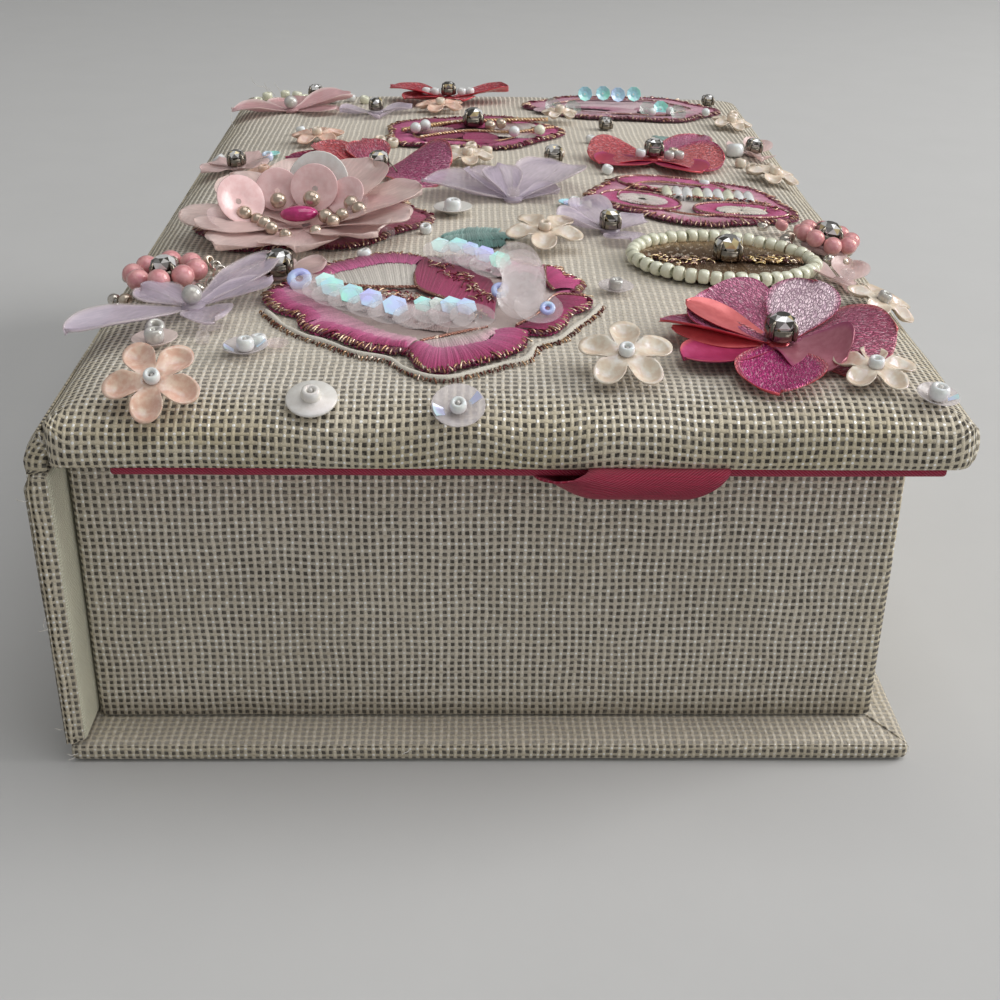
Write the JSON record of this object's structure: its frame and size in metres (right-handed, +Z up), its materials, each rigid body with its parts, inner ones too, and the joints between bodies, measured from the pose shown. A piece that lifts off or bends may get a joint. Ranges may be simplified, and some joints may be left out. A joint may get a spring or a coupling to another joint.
{
  "type": "keepsake box",
  "caption": "Cloth-covered, book-shaped keepsake box with a hinged padded lid sewn with beads, sequins and film flowers, and an open tray inside.",
  "frame": {"origin": "middle of the underside of the bottom board, on the ground", "axes": "+Z up; the hinge runs along Y on the -X side; -Y is the front end with the ribbon"},
  "size_m": [0.1296, 0.2035, 0.0685],
  "materials": {
    "cloth": "matt, open even weave with a metallic glint",
    "lining": "satin",
    "sequin": "pearly",
    "clear_sequin": "clear, iridescent",
    "foil": "metallic foil, grained",
    "film": "translucent, glossy",
    "thread": "satin stitch",
    "leaf_thread": "satin stitch",
    "gold_thread": "metallic thread",
    "pearl": "pearly",
    "crystal": "faceted, foiled back"
  },
  "bodies": {
    "base": {"bottom_board": "cloth", "spine_board": "cloth", "hinge_cloth": "cloth", "tray": "cloth"},
    "lid": {"lid": "cloth", "lid_lining": "lining", "ribbon_tab": "lining", "embroidered_flower_front": "thread", "embroidered_flower_right": "thread", "embroidered_flower_mid": "thread", "embroidered_flower_back": "thread", "embroidered_flower_left": "thread", "gold_oval_motif": "gold_thread", "embroidered_leaf_mid": "leaf_thread", "embroidered_leaf_right": "leaf_thread", "peach_sequin_flower_1": "sequin", "peach_sequin_flower_2": "sequin", "peach_sequin_flower_3": "sequin", "peach_sequin_flower_4": "sequin", "peach_sequin_flower_5": "sequin", "peach_sequin_flower_6": "sequin", "peach_sequin_flower_7": "sequin", "peach_sequin_flower_8": "sequin", "peach_sequin_flower_9": "sequin", "peach_sequin_flower_10": "sequin", "peach_sequin_flower_11": "sequin", "peach_sequin_flower_12": "sequin", "cup_sequin_1": "clear_sequin", "cup_sequin_2": "clear_sequin", "cup_sequin_3": "clear_sequin", "cup_sequin_4": "clear_sequin", "cup_sequin_5": "clear_sequin", "cup_sequin_6": "clear_sequin", "cup_sequin_7": "clear_sequin", "cup_sequin_8": "clear_sequin", "foil_flower_front": "foil", "foil_flower_left": "foil", "foil_flower_right": "foil", "foil_flower_back": "foil", "organza_flower": "film", "lavender_flower_left": "film", "lavender_flower_stone": "film", "lavender_flower_mid": "film", "lavender_flower_right": "film", "lavender_flower_far_left": "film", "lavender_flower_back": "film", "mauve_flower_back": "film", "pink_flower_far_right": "film", "pink_flower_right": "film", "pearl_cluster_left": "pearl", "pearl_cluster_right": "pearl", "rhinestone_1": "crystal", "rhinestone_2": "crystal", "rhinestone_3": "crystal", "rhinestone_4": "crystal"}
  },
  "joints": [
    {"name": "lid_hinge", "type": "hinge", "parent": "base", "child": "lid", "pos_m": [-0.0625, 0, 0.0487], "axis": [0, -1, 0], "range_deg": [0, 180]}
  ]
}
